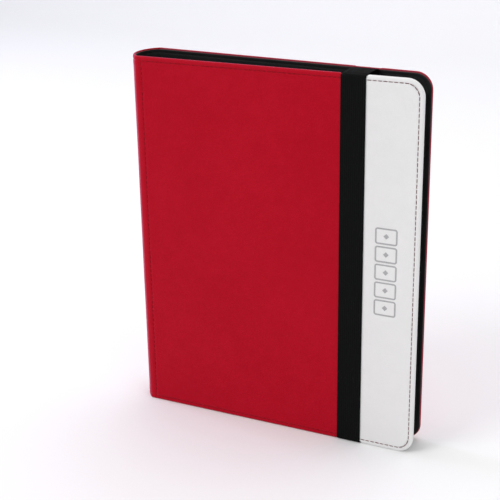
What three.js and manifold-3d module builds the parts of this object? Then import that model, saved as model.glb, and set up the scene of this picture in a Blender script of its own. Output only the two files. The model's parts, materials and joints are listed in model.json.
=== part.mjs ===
// A trading card binder with padded covers, fixed pocket leaves and an elastic strap, in millimetres.
// It stands closed on its tail edges: +Z up, +X from the spine to the fore-edge, front cover facing -Y.
// The origin is below the middle of the closed binder, on the surface it stands on.

import * as THREE from "three";
import { mergeVertices } from "three/addons/utils/BufferGeometryUtils.js";
import Module from "manifold-3d";

const wasm = await Module();
wasm.setup();

// Driving dimensions
const COVER_WIDTH = 255;
const COVER_HEIGHT = 318;
const SPINE_THICKNESS = 43;        // closed, outside to outside, at the spine
const FORE_EDGE_THICKNESS = 29;    // closed, outside to outside, at the fore-edge
const SPINE_BULGE = 7.5;           // how far the rounded spine stands behind the hinges
const BACK_SETBACK = 2.7;          // how far the back cover stops short of the front one's fore-edge
const CORNER_RADIUS = 14;
const EDGE_PANEL_WIDTH = 56.5;     // the light panel along the front cover's fore-edge
const STRAP_WIDTH = 21;
const STRAP_CENTRE = 198;          // from the spine edge of the cover
const STRAP_THICKNESS = 0.8;
const STRAP_BEND = 0.5;            // inside radius where it turns over the head and the tail
const DENT_MARGIN = 0.5;           // how much wider than the strap its dents are, at each side
const ANCHOR_LIP = 0.9;            // how far a sewn strap end stands off the lining's patch
const FREE_GAP = 0.3;              // between the strap and its sewn ends
const LEAF_COUNT = 20;
const LEAF_WIDTH = 236;
const LEAF_HEIGHT = 298;
const LEAF_THICKNESS = 0.75;
const LEAF_CORNER = 4;
const LEAF_MARGIN = 10;            // thin strip between a leaf's hinge and its pockets
const MARGIN_THICKNESS = 0.5;
const LEAF_TO_COVER = 0.6;         // left free between the outermost leaves and the covers' linings

// Thickness of each layer of a cover, from the outside in, with the gap between layers
const SKIN = 0.9;
const FOAM = 0.8;
const BOARD = 1;
const LINING = 1.1;                // stiff sheet covered in dark leatherette
const LAYER_GAP = 0.1;
const TRAY_DEPTH = SKIN + FOAM + BOARD + 2 * LAYER_GAP;
const COVER_THICKNESS = TRAY_DEPTH + LAYER_GAP + LINING;
const RIM = 1;                     // the skin's wall around the foam and the board
const EDGE_ROUNDING = 2;
const LINING_SETBACK = 1.1;        // from the head and tail of a cover to its lining
const LINING_FORE_SETBACK = 0.3;   // from the fore-edge of a cover to its lining

// Hinges
const HINGE_X = 2;                 // from the outermost line of the spine's corners
const HINGE_INSET = 1.9;           // from the outer face of a cover to its hinge axis
const HINGE_GAP = 0.2;
const HINGE_CLEARANCE = 0.1;       // between the spine's lips and the hinge axes
const HINGE_Y = SPINE_THICKNESS / 2 - HINGE_INSET;

const COVER_TILT = Math.atan((SPINE_THICKNESS - FORE_EDGE_THICKNESS) / 2 / COVER_WIDTH);
const MIDDLE_X = (COVER_WIDTH * Math.cos(COVER_TILT) - SPINE_BULGE) / 2;

// Solids

function manifoldOf(geometry) {
  const bare = geometry.clone();
  bare.deleteAttribute("normal");
  bare.deleteAttribute("uv");
  const merged = mergeVertices(bare, 1e-4);
  return new wasm.Manifold(new wasm.Mesh({
    numProp: 3,
    vertProperties: new Float32Array(merged.attributes.position.array),
    triVerts: new Uint32Array(merged.index.array),
  }));
}

function geometryOf(manifold) {
  const mesh = manifold.getMesh();
  const geometry = new THREE.BufferGeometry();
  geometry.setAttribute("position", new THREE.BufferAttribute(new Float32Array(mesh.vertProperties), 3));
  geometry.setIndex(new THREE.BufferAttribute(new Uint32Array(mesh.triVerts), 1));
  return geometry;
}

function subtract(geometry, ...cutters) {
  let solid = manifoldOf(geometry);
  for (const cutter of cutters) {
    solid = solid.subtract(manifoldOf(cutter));
  }
  return geometryOf(solid);
}

function intersect(a, b) {
  return geometryOf(manifoldOf(a).intersect(manifoldOf(b)));
}

function join(a, b) {
  return geometryOf(manifoldOf(a).add(manifoldOf(b)));
}

function block(x0, x1, y0, y1, z0, z1) {
  const box = new THREE.BoxGeometry(x1 - x0, y1 - y0, z1 - z0);
  box.translate((x0 + x1) / 2, (y0 + y1) / 2, (z0 + z1) / 2);
  return box;
}

// The same solid on the other side of the plane y = 0, with its faces still pointing out
function mirrored(geometry) {
  const copy = geometry.index ? geometry.clone() : mergeVertices(geometry);
  copy.scale(1, -1, 1);
  const index = copy.index.array;
  for (let i = 0; i < index.length; i += 3) {
    [index[i], index[i + 1]] = [index[i + 1], index[i]];
  }
  return copy;
}

// Covers: x from the hinge to the fore-edge, z up, y from the outer face inwards

// The outline of a cover, drawn in by an inset on every side but with its own at the fore-edge
function coverOutline(inset, foreInset = inset) {
  const x0 = HINGE_X + HINGE_GAP + inset;
  const x1 = COVER_WIDTH - foreInset;
  const z0 = inset;
  const z1 = COVER_HEIGHT - inset;
  const r = CORNER_RADIUS - inset;   // of the fore-edge corners
  const shape = new THREE.Shape();
  shape.moveTo(x0, z0);
  shape.lineTo(x1 - r, z0);
  shape.absarc(x1 - r, z0 + r, r, -Math.PI / 2, 0, false);
  shape.lineTo(x1, z1 - r);
  shape.absarc(x1 - r, z1 - r, r, 0, Math.PI / 2, false);
  shape.lineTo(x0, z1);
  shape.closePath();
  return shape;
}

// A flat layer of a cover, from a depth inwards
function coverLayer(inset, depth, thickness, foreInset = inset) {
  const layer = new THREE.ExtrudeGeometry(coverOutline(inset, foreInset), {
    depth: thickness,
    bevelEnabled: false,
    curveSegments: 6,
  });
  // The shape's own plane becomes XZ, and its thickness runs along +Y
  layer.rotateX(Math.PI / 2);
  layer.translate(0, depth + thickness, 0);
  return layer;
}

// The skin of a whole cover: a shallow tray with a soft outer edge
function coverTray(setback) {
  const rounded = new THREE.ExtrudeGeometry(coverOutline(0, setback), {
    depth: TRAY_DEPTH,
    bevelEnabled: true,
    bevelThickness: EDGE_ROUNDING,
    bevelSize: EDGE_ROUNDING,
    bevelOffset: -EDGE_ROUNDING,
    bevelSegments: 3,
    curveSegments: 6,
  });
  rounded.rotateX(Math.PI / 2);
  rounded.translate(0, TRAY_DEPTH + EDGE_ROUNDING, 0);
  const far = COVER_HEIGHT * 2;
  const outside = intersect(rounded, block(-far, far, -1, TRAY_DEPTH, -far, far));
  return subtract(outside, coverLayer(RIM, SKIN, COVER_THICKNESS, RIM + setback));
}

// The cutters for the shallow dents that the strap presses into the front cover's head and tail
function strapDents() {
  const depth = STRAP_THICKNESS + 2 * LAYER_GAP;
  const x0 = STRAP_CENTRE - STRAP_WIDTH / 2 - DENT_MARGIN;
  const x1 = STRAP_CENTRE + STRAP_WIDTH / 2 + DENT_MARGIN;
  const y1 = COVER_THICKNESS + 1;
  return [
    block(x0, x1, -1, y1, COVER_HEIGHT - depth, COVER_HEIGHT + 1),
    block(x0, x1, -1, y1, -1, depth),
  ];
}

function foamLayer(setback) {
  const inset = RIM + LAYER_GAP;
  return coverLayer(inset, SKIN + LAYER_GAP, FOAM, inset + setback);
}

function boardLayer(setback) {
  const inset = RIM + LAYER_GAP;
  return coverLayer(inset, SKIN + FOAM + 2 * LAYER_GAP, BOARD, inset + setback);
}

function liningLayer(setback) {
  return coverLayer(LINING_SETBACK, TRAY_DEPTH + LAYER_GAP, LINING, LINING_FORE_SETBACK + setback);
}

// The front skin is sewn from two panels that meet under the strap
function frontPanels() {
  const seam = COVER_WIDTH - EDGE_PANEL_WIDTH;
  const tray = subtract(coverTray(0), ...strapDents());
  const far = COVER_HEIGHT * 2;
  return {
    main: intersect(tray, block(-far, seam - LAYER_GAP, -far, far, -far, far)),
    edge: intersect(tray, block(seam + LAYER_GAP, far, -far, far, -far, far)),
  };
}

// Strap: a ribbon of elastic bent into a C around the head, front and tail, in the front cover's place
function strapRibbon() {
  const face = -LAYER_GAP;
  const top = COVER_HEIGHT - LAYER_GAP;
  const bottom = LAYER_GAP;
  const t = STRAP_THICKNESS;
  const inner = STRAP_BEND;
  const outer = inner + t;
  const taper = STRAP_WIDTH * Math.tan(COVER_TILT);
  const anchor = COVER_THICKNESS + LAYER_GAP + STRAP_THICKNESS + ANCHOR_LIP;
  const end = thicknessAt(STRAP_CENTRE) - anchor - taper - FREE_GAP;
  const shape = new THREE.Shape();
  shape.moveTo(end, top);
  shape.lineTo(face - t + outer, top);
  shape.absarc(face - t + outer, top - outer, outer, Math.PI / 2, Math.PI, false);
  shape.lineTo(face - t, bottom + outer);
  shape.absarc(face - t + outer, bottom + outer, outer, Math.PI, Math.PI * 1.5, false);
  shape.lineTo(end, bottom);
  shape.lineTo(end, bottom + t);
  shape.lineTo(face + inner, bottom + t);
  shape.absarc(face + inner, bottom + outer, inner, Math.PI * 1.5, Math.PI, true);
  shape.lineTo(face, top - outer);
  shape.absarc(face + inner, top - outer, inner, Math.PI, Math.PI / 2, true);
  shape.lineTo(end, top - t);
  shape.closePath();
  const ribbon = new THREE.ExtrudeGeometry(shape, {
    depth: STRAP_WIDTH,
    bevelEnabled: false,
    curveSegments: 4,
  });
  // The shape's first direction becomes Y and its second Z, and the width runs along X
  ribbon.rotateY(Math.PI / 2);
  ribbon.rotateX(Math.PI / 2);
  ribbon.translate(STRAP_CENTRE - STRAP_WIDTH / 2, 0, 0);
  return ribbon;
}

// Outside-to-outside thickness of the closed binder at a distance from the spine edge
function thicknessAt(x) {
  return SPINE_THICKNESS - 2 * x * Math.tan(COVER_TILT);
}

// One sewn end of the strap: a patch on the lining with a lip turned towards the strap, at the head
function strapAnchor() {
  const patch = (COVER_HEIGHT - LEAF_HEIGHT) / 2 - 2 * FREE_GAP;
  const y0 = COVER_THICKNESS + LAYER_GAP;
  const y1 = y0 + STRAP_THICKNESS;
  const z1 = COVER_HEIGHT - LAYER_GAP;
  const x0 = STRAP_CENTRE - STRAP_WIDTH / 2;
  const x1 = STRAP_CENTRE + STRAP_WIDTH / 2;
  const flat = block(x0, x1, y0, y1, z1 - patch, z1);
  return join(flat, block(x0, x1, y0, y1 + ANCHOR_LIP, z1 - STRAP_THICKNESS, z1));
}

function upsideDown(geometry) {
  const copy = geometry.clone();
  copy.rotateY(Math.PI);
  copy.translate(2 * STRAP_CENTRE, 0, COVER_HEIGHT);
  return copy;
}

// Spine: x from the outermost line of its corners, y across the binder

const SPINE_BOARD = 1.2;
const SPINE_BOARD_ANGLE = 0.7;     // half the arc of the spine's board, in radians
const SPINE_LINING = 0.5;
const SPINE_LINING_ANGLE = 0.68;
const HINGE_LIP = 1.1;             // from the ends of the spine's arc out to the hinge axes
const spineHalf = HINGE_Y - HINGE_LIP;
const spineHalfAngle = 2 * Math.atan(SPINE_BULGE / spineHalf);
const spineRadius = spineHalf / Math.sin(spineHalfAngle);
const spineCentre = spineRadius - SPINE_BULGE;

// A curved layer of the spine, concentric with its outer face
function spineLayer(depth, thickness, halfAngle) {
  const outer = spineRadius - depth;
  const inner = outer - thickness;
  const a0 = Math.PI - halfAngle;
  const a1 = Math.PI + halfAngle;
  const shape = new THREE.Shape();
  shape.absarc(spineCentre, 0, outer, a0, a1, false);
  shape.absarc(spineCentre, 0, inner, a1, a0, true);
  shape.closePath();
  return upright(shape, LINING_SETBACK, COVER_HEIGHT - LINING_SETBACK);
}

// A plan shape pulled up between two heights
function upright(shape, z0, z1) {
  const solid = new THREE.ExtrudeGeometry(shape, {
    depth: z1 - z0,
    bevelEnabled: false,
    curveSegments: 16,
  });
  solid.translate(0, 0, z0);
  return solid;
}

// The spine's skin runs on past its corners to both hinges
function spineSkin() {
  const arc = spineHalfAngle;
  const inner = spineRadius - SKIN;
  const lip = HINGE_X - HINGE_GAP;
  const shape = new THREE.Shape();
  shape.moveTo(lip, HINGE_Y - HINGE_CLEARANCE);
  shape.absarc(spineCentre, 0, spineRadius, Math.PI - arc, Math.PI + arc, false);
  shape.lineTo(lip, -HINGE_Y + HINGE_CLEARANCE);
  shape.lineTo(lip, -HINGE_Y + HINGE_CLEARANCE + SKIN);
  shape.absarc(spineCentre, 0, inner, Math.PI + arc, Math.PI - arc, true);
  shape.lineTo(lip, HINGE_Y - HINGE_CLEARANCE - SKIN);
  shape.closePath();
  return upright(shape, 0, COVER_HEIGHT);
}

const spineBoardDepth = SKIN + LAYER_GAP;
const spineLiningDepth = spineBoardDepth + SPINE_BOARD + LAYER_GAP;
const bindingDepth = spineLiningDepth + SPINE_LINING + LAYER_GAP;

// Binding: the leaves' inner margins, stacked with spacers and sewn into one rounded bar

const BINDING_DEPTH = 12;          // how far the bar's middle stands in front of the spine edge
const BINDING_HALF = 17;           // half the bar's width across the binder
const BINDING_ROUND = 6;           // how far its middle stands in front of its ends
const BINDING_BACK_ANGLE = 0.6;    // half the arc that lies against the spine, in radians
const LEAF_GAP = 0.4;              // between the bar and each leaf's hinge
const LEAF_FAN = 0.96;             // the share of the bar's arc that the leaves' hinges take up
const bindingHalfAngle = 2 * Math.atan(BINDING_ROUND / BINDING_HALF);
const bindingRadius = BINDING_HALF / Math.sin(bindingHalfAngle);
const bindingCentre = BINDING_DEPTH - bindingRadius;

function pageBinding() {
  const backHalf = BINDING_BACK_ANGLE;
  const shape = new THREE.Shape();
  shape.absarc(bindingCentre, 0, bindingRadius, -bindingHalfAngle, bindingHalfAngle, false);
  shape.absarc(spineCentre, 0, spineRadius - bindingDepth, Math.PI - backHalf, Math.PI + backHalf, false);
  shape.closePath();
  const z0 = (COVER_HEIGHT - LEAF_HEIGHT) / 2;
  return upright(shape, z0, z0 + LEAF_HEIGHT);
}

// Leaves: x from the leaf's hinge to its free edge, y through its thickness, z up

function leafPlate() {
  const r = LEAF_CORNER;
  const w = LEAF_WIDTH;
  const h = LEAF_HEIGHT;
  const x0 = LEAF_MARGIN;
  const shape = new THREE.Shape();
  shape.moveTo(x0, 0);
  shape.lineTo(w - r, 0);
  shape.absarc(w - r, r, r, -Math.PI / 2, 0, false);
  shape.lineTo(w, h - r);
  shape.absarc(w - r, h - r, r, 0, Math.PI / 2, false);
  shape.lineTo(x0, h);
  shape.closePath();
  const plate = new THREE.ExtrudeGeometry(shape, {
    depth: LEAF_THICKNESS,
    bevelEnabled: false,
    curveSegments: 3,
  });
  plate.rotateX(Math.PI / 2);
  plate.translate(0, LEAF_THICKNESS / 2, 0);
  const m = MARGIN_THICKNESS / 2;
  const margin = block(0, x0 + 1, -m, m, 0, h);
  return join(plate, margin);
}

// Where leaf number i is hinged, and which way it points when the binder is closed
function leafPlace(i) {
  const share = (2 * i) / (LEAF_COUNT - 1) - 1;
  const angle = share * bindingHalfAngle * LEAF_FAN;
  const root = bindingRadius + LEAF_GAP;
  const x = bindingCentre + root * Math.cos(angle);
  const y = root * Math.sin(angle);
  const room = thicknessAt(x + LEAF_WIDTH) / 2 - COVER_THICKNESS;
  const tip = share * (room - LEAF_THICKNESS / 2 - LEAF_TO_COVER);
  return { x, y, turn: Math.asin((tip - y) / LEAF_WIDTH) };
}

// Colours and finishes

const leatherette = new THREE.MeshStandardMaterial({ color: 0xb01120, roughness: 0.5, metalness: 0 });
const paleLeatherette = new THREE.MeshStandardMaterial({ color: 0xe2e2e4, roughness: 0.5, metalness: 0 });
const foam = new THREE.MeshStandardMaterial({ color: 0xd8d2c4, roughness: 0.95, metalness: 0 });
const board = new THREE.MeshStandardMaterial({ color: 0x9a8f7c, roughness: 0.9, metalness: 0 });
const lining = new THREE.MeshStandardMaterial({ color: 0x2f3133, roughness: 0.8, metalness: 0 });
const elastic = new THREE.MeshStandardMaterial({ color: 0x17171a, roughness: 0.85, metalness: 0 });
const sheet = new THREE.MeshStandardMaterial({ color: 0x1d1e20, roughness: 0.45, metalness: 0 });

function part(name, geometry, material) {
  const mesh = new THREE.Mesh(geometry, material);
  mesh.name = name;
  return mesh;
}

// Assembly

const binder = new THREE.Group();
binder.position.x = -MIDDLE_X;

const panels = frontPanels();
const frontCover = new THREE.Group();
frontCover.position.y = -SPINE_THICKNESS / 2;
frontCover.rotation.z = COVER_TILT;
frontCover.add(part("front_cover_skin", panels.main, leatherette));
frontCover.add(part("front_edge_panel", panels.edge, paleLeatherette));
frontCover.add(part("front_cover_foam", foamLayer(0), foam));
frontCover.add(part("front_cover_board", boardLayer(0), board));
frontCover.add(part("front_cover_lining", liningLayer(0), lining));
frontCover.add(part("strap", strapRibbon(), elastic));
binder.add(frontCover);

const backCover = new THREE.Group();
backCover.position.y = SPINE_THICKNESS / 2;
backCover.rotation.z = -COVER_TILT;
backCover.add(part("back_cover_skin", mirrored(coverTray(BACK_SETBACK)), leatherette));
backCover.add(part("back_cover_foam", mirrored(foamLayer(BACK_SETBACK)), foam));
backCover.add(part("back_cover_board", mirrored(boardLayer(BACK_SETBACK)), board));
backCover.add(part("back_cover_lining", mirrored(liningLayer(BACK_SETBACK)), lining));
backCover.add(part("strap_anchor_head", mirrored(strapAnchor()), elastic));
backCover.add(part("strap_anchor_tail", mirrored(upsideDown(strapAnchor())), elastic));
binder.add(backCover);

binder.add(part("spine_skin", spineSkin(), leatherette));
binder.add(part("spine_board", spineLayer(spineBoardDepth, SPINE_BOARD, SPINE_BOARD_ANGLE), board));
binder.add(part("spine_lining", spineLayer(spineLiningDepth, SPINE_LINING, SPINE_LINING_ANGLE), lining));
binder.add(part("page_binding", pageBinding(), sheet));

for (let i = 0; i < LEAF_COUNT; i += 1) {
  const place = leafPlace(i);
  const leaf = part(`leaf_${String(i + 1).padStart(2, "0")}`, leafPlate(), sheet);
  leaf.position.set(place.x, place.y, (COVER_HEIGHT - LEAF_HEIGHT) / 2);
  leaf.rotation.z = place.turn;
  binder.add(leaf);
}

export default binder;
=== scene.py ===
import json
import math

import bmesh
import bpy
import numpy as np
from mathutils import Matrix, Vector


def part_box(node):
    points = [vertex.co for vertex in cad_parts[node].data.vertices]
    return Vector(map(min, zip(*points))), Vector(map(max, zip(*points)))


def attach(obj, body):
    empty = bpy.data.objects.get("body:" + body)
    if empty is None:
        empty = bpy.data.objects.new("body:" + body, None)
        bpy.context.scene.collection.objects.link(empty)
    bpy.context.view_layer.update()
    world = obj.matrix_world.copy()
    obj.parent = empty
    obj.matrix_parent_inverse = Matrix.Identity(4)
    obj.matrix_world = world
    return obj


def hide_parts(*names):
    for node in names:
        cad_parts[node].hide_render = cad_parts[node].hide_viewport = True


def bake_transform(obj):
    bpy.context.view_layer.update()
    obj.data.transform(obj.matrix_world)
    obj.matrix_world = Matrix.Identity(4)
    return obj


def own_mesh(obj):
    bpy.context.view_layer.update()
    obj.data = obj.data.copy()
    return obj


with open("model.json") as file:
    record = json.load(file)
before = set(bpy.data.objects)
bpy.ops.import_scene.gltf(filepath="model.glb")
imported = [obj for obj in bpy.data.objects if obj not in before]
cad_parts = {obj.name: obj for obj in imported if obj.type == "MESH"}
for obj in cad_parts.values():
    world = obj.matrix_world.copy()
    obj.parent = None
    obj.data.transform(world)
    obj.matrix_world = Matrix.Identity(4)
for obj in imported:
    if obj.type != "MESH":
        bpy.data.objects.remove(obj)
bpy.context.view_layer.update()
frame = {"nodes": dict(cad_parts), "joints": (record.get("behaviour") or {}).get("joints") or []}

mm = 0.001


# The covers and the spine.
# One piece of red leatherette is glued over two boards and the spine, its edges turned in and sewn down.
# It is made here as a front half and a back half that meet along the middle of the spine.

hinge_place = {j["name"]: np.array(j["pos_m"]) for j in frame["joints"]}
cover_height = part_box("back_cover_skin")[1][2]
cover_width = 255 * mm
spine_edge = hinge_place["spine_hinge"][0] - 2 * mm
half_at_spine = 21.5 * mm
half_at_fore_edge = 14.5 * mm
taper = math.atan((half_at_spine - half_at_fore_edge) / cover_width)
FRONT = -1
BACK = 1

spine_bulge = 7.5 * mm
spine_half = 18.5 * mm
spine_angle = 2 * math.atan(spine_bulge / spine_half)
spine_radius = spine_half / math.sin(spine_angle)


def girth(arc_radius, arc_angle, face_depth, face_start, pull_off, pull_on, samples=60):
    """Plan of a sheet from the spine's middle to the fore-edge, on the back half: an arc about the
    spine's centre, a cubic bend round the corner, then the cover's straight face. It gives the place
    along the sheet (the distance from the spine edge, once on the face), the plan point and the
    direction into the binder."""
    turn = np.linspace(0, arc_angle, samples)
    arc = np.stack([spine_radius - spine_bulge - arc_radius * np.cos(turn), arc_radius * np.sin(turn)], 1)
    along_face = np.array([math.cos(taper), -math.sin(taper)])
    into_face = np.array([-math.sin(taper), -math.cos(taper)])
    face_foot = np.array([0, half_at_spine]) + face_depth * into_face
    end = face_foot + face_start * along_face
    leave = arc[-1] + pull_off * np.array([math.sin(arc_angle), math.cos(arc_angle)])
    arrive = end - pull_on * along_face
    t = np.linspace(0, 1, samples)[1:, None]
    bend = (1 - t) ** 3 * arc[-1] + 3 * (1 - t) ** 2 * t * leave + 3 * (1 - t) * t**2 * arrive + t**3 * end
    reach = cover_width + 20 * mm
    face = face_foot + np.linspace(face_start, reach, samples)[1:, None] * along_face
    plan = np.vstack([arc, bend, face])
    along = np.concatenate([[0], np.cumsum(np.linalg.norm(np.diff(plan, axis=0), axis=1))])
    along += reach - along[-1]
    way = np.gradient(plan, along, axis=0)
    inward = np.stack([way[:, 1], -way[:, 0]], 1)
    inward /= np.linalg.norm(inward, axis=1, keepdims=True)
    return along, plan, inward


def smooth(value, low, high):
    """0 below low, 1 above high, and a smooth cubic step between them."""
    t = np.clip((value - low) / (high - low), 0, 1)
    return t * t * (3 - 2 * t)


def bell(value, middle, width):
    """1 at the middle, falling off on both sides as a bell curve of the width given."""
    return np.exp(-(((value - middle) / width) ** 2))


corner_reach = 14 * mm         # from the outline in to the grid of a face, and the corners' radius
far_in = 1.0                   # an inset that no edge is felt at, in metres


class Sheet:
    """A sheet that covers one half of the binder from the spine's middle to the fore-edge, with its
    edges turned. Its depth runs from its visible face into the material behind it."""

    inner_rounding = 0.16          # share of the turned edge's depth taken up by its inner rounding
    hinge_ease = -1 * mm, 6 * mm   # where its edge grows from the spine's depth to the cover's
    lie_ease = 2.4 * mm            # how far in from the outline the relief has its full height
    dip_ease = 6 * mm              # how far in from the outline a dip in the edge is felt
    # Rows of the grid inside the outline, closest where the line of stitches dents the sheet
    row_insets = np.array([
        12.5, 10, 8.4, 7.4, 6.5, 5.7, 5.1, 4.7, 4.35, 4.05, 3.75, 3.45, 3.15, 2.8, 2.45, 2.15, 1.9,
    ]) * mm
    rim_insets = np.array([1.0, 1.6]) * mm

    def __init__(self, plan, into, spine_depth, cover_depth, rounding, setback, relief):
        self.along, self.plan, self.inward = plan
        self.into = into                      # 1 if its depth runs into the binder, -1 if out of it
        self.spine_depth = spine_depth        # depth of its turned edge on the spine
        self.cover_depth = cover_depth        # and on a cover
        self.rounding = rounding              # share of that depth taken up by the edge's rounding
        self.end_setback, self.fore_setback = setback
        self.relief = relief

    def point(self, q, depth, z, side):
        """Plan point at q along the sheet, plus depth along the direction into it, at height z."""
        step = self.into * depth
        x = np.interp(q, self.along, self.plan[:, 0]) + step * np.interp(q, self.along, self.inward[:, 0])
        y = np.interp(q, self.along, self.plan[:, 1]) + step * np.interp(q, self.along, self.inward[:, 1])
        return np.stack(np.broadcast_arrays(spine_edge + x, side * y, z), -1)

    def section(self, q):
        """Section across an edge, from the flat face over the rounded edge to the turned-in rim: how
        far out of the outline each point lies, and its depth. Rows run outwards, columns follow q."""
        depth = self.spine_depth + (self.cover_depth - self.spine_depth) * smooth(q, *self.hinge_ease)
        outer = self.rounding * depth
        inner = self.inner_rounding * depth
        flat_out = -self.row_insets[:, None] + 0 * q
        phi = np.linspace(0, math.pi / 2, 8)[:, None]
        psi = np.linspace(0, math.pi / 2, 5)[:, None]
        round_out = outer * (np.sin(phi) - 1)
        turn_out = inner * (np.cos(psi) - 1)
        rim_out = -self.rim_insets[:, None] + 0 * q
        round_deep = outer * (1 - np.cos(phi))
        turn_deep = depth + inner * (np.sin(psi) - 1)
        out = np.vstack([flat_out, round_out, turn_out, rim_out])
        deep = np.vstack([0 * flat_out, round_deep, turn_deep, depth + 0 * rim_out])
        return out, deep

    def edge(self, base_q, base_z, out_q, out_z, side, extra, squeeze):
        """One strip that runs over an edge: from each base point the section is laid outwards."""
        out, deep = self.section(base_q)
        inset = np.maximum(-out, 0)
        reach_q = corner_reach - self.fore_setback + out
        dip = squeeze(base_q, out_z) * (1 - smooth(inset, 0, self.dip_ease))
        reach_z = corner_reach - self.end_setback + out - dip
        reach_q[0] = reach_z[0] = 0
        q = base_q + out_q * reach_q
        z = base_z + out_z * reach_z
        setback = self.fore_setback * out_q**2 + self.end_setback * out_z**2
        lie = (self.relief(q, z, inset + setback) + extra(q, z)) * smooth(inset, 0, self.lie_ease)
        out[0] = -corner_reach
        run = np.abs(np.diff(out, axis=0, prepend=out[:1])) + np.diff(deep, axis=0, prepend=deep[:1])
        unrolled = np.cumsum(run, 0)
        uv = np.stack([base_q + out_q * unrolled, base_z + out_z * unrolled], -1)
        turned = deep / self.cover_depth
        return self.point(q, deep + lie, z, side), uv, turned

    def patches(self, q, rows, side, fore_edge, extra, squeeze):
        """The face's grid, the head and tail strips, and on a piece that reaches the fore-edge its
        strip and its two corners, where the strips turn about the corner's centre."""
        z = rows[:, None] + 0 * q
        qq = q + 0 * z
        face = self.point(qq, self.relief(qq, z, far_in) + extra(qq, z), z, side)
        made = [(face, np.stack([qq, z], -1), 0 * z)]
        ends = [(rows[0], -1.0), (rows[-1], 1.0)]
        for level, way in ends:
            made.append(self.edge(q, level + 0 * q, 0 * q, way + 0 * q, side, extra, squeeze))
        if fore_edge:
            made.append(self.edge(q[-1] + 0 * rows, rows, 1 + 0 * rows, 0 * rows, side, extra, squeeze))
            turn = np.linspace(0, math.pi / 2, 13)
            still = 0 * turn
            for level, way in ends:
                toward = np.cos(turn), way * np.sin(turn)
                made.append(self.edge(q[-1] + still, level + still, *toward, side, extra, squeeze))
        return made


def quads(rows, columns, first):
    """Corner numbers of the faces between neighbouring points of a grid."""
    n = first + np.arange(rows * columns).reshape(rows, columns)
    return np.stack([n[:-1, :-1], n[1:, :-1], n[1:, 1:], n[:-1, 1:]], -1).reshape(-1, 4)


def tube(rows, columns):
    """Faces of a closed loop of points carried along a path: its wall, and at both ends a strip between
    the loop's first half and its second, which runs back beside it."""
    n = np.arange(rows * columns).reshape(rows, columns)
    closing = np.stack([n[:-1, -1], n[1:, -1], n[1:, 0], n[:-1, 0]], -1)
    h = columns // 2
    ends = []
    for loop in (n[0], n[-1]):
        back = loop[::-1]
        ends.append(np.stack([loop[:h - 1], loop[1:h], back[1:h], back[:h - 1]], -1))
    return [quads(rows, columns, 0), closing, *ends]


def mesh_from(name, points, faces, uv=None, turned=None):
    """A mesh of an (n, 3) array of points and a list of arrays of faces, with optional uv, and how
    far over its edge each point has been turned."""
    mesh = bpy.data.meshes.new(name)
    mesh.from_pydata(points.tolist(), [], [f for array in faces for f in array.tolist()])
    if uv is not None:
        corners = np.empty(len(mesh.loops), np.int32)
        mesh.loops.foreach_get("vertex_index", corners)
        mesh.uv_layers.new(name="UVMap").data.foreach_set("uv", uv[corners].astype(np.float32).ravel())
    if turned is not None:
        mesh.attributes.new("turned", "FLOAT", "POINT").data.foreach_set("value", turned.astype(np.float32))
    return mesh


def tidy(mesh, toward=None):
    """Joins points that coincide and turns the faces one way: outwards if the mesh is closed, and
    otherwise so that on the whole they face the given way along Y."""
    work = bmesh.new()
    work.from_mesh(mesh)
    bmesh.ops.remove_doubles(work, verts=work.verts, dist=2e-6)
    bmesh.ops.recalc_face_normals(work, faces=work.faces)
    if toward is not None:
        work.normal_update()
        facing = sum(f.normal[1] * f.calc_area() for f in work.faces)
        if facing * toward < 0:
            bmesh.ops.reverse_faces(work, faces=work.faces)
    work.to_mesh(mesh)
    work.free()


def show(name, mesh, *finishes, sharp=50):
    """A smooth-shaded object at the origin, linked to the scene, in the finishes given."""
    mesh.shade_smooth()
    mesh.set_sharp_from_angle(angle=math.radians(sharp))
    piece = bpy.data.objects.new(name, mesh)
    bpy.context.scene.collection.objects.link(piece)
    for finish in finishes:
        mesh.materials.append(finish)
    return piece


def shell(piece, thickness):
    """Gives an open sheet its thickness on the inside, with cut edges in the second finish."""
    solid = piece.modifiers.new("thickness", "SOLIDIFY")
    solid.thickness = thickness
    solid.offset = -1
    solid.use_even_offset = False
    solid.material_offset_rim = 1
    bpy.context.view_layer.update()
    finished = bpy.data.meshes.new_from_object(piece.evaluated_get(bpy.context.evaluated_depsgraph_get()))
    piece.modifiers.clear()
    piece.data = finished
    finished.shade_smooth()
    finished.set_sharp_from_angle(angle=math.radians(50))


def plain(q, _):
    """No extra relief, and no dip in an edge."""
    return 0 * q


def sheet_piece(name, sheet, q, rows, side, fore_edge, thickness, finishes, extra=plain, squeeze=plain):
    """A closed shell made from a sheet's patches."""
    points, uvs, turns, faces, first = [], [], [], [], 0
    for place, uv, turned in sheet.patches(q, rows, side, fore_edge, extra, squeeze):
        points.append(place.reshape(-1, 3))
        uvs.append(uv.reshape(-1, 2))
        turns.append(turned.ravel())
        faces.append(quads(*place.shape[:2], first))
        first += place.shape[0] * place.shape[1]
    mesh = mesh_from(name, np.vstack(points), faces, np.vstack(uvs), np.concatenate(turns))
    tidy(mesh, toward=side * sheet.into)
    piece = show(name, mesh, *finishes)
    shell(piece, thickness)
    return piece


stitch_inset = 3.75 * mm       # from the outline to the line of stitches
spine_stitch = 8.5 * mm        # from the spine edge to the line of stitches beside the hinge
strap_centre = 198 * mm        # from the spine edge
strap_width = 21 * mm
panel_seam = 198.5 * mm        # from the spine edge to the light panel, under the strap
cover_depth = 4.1 * mm         # all of a cover's layers together
back_setback = 2.7 * mm        # how far the back cover stops short of the front one's fore-edge
strap_dip = 1.05 * mm          # how deep the strap presses into the padded edges it bends over
back_head_dip = 0.34 * mm      # and into the back cover's head edge, where it stands a little higher


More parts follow.
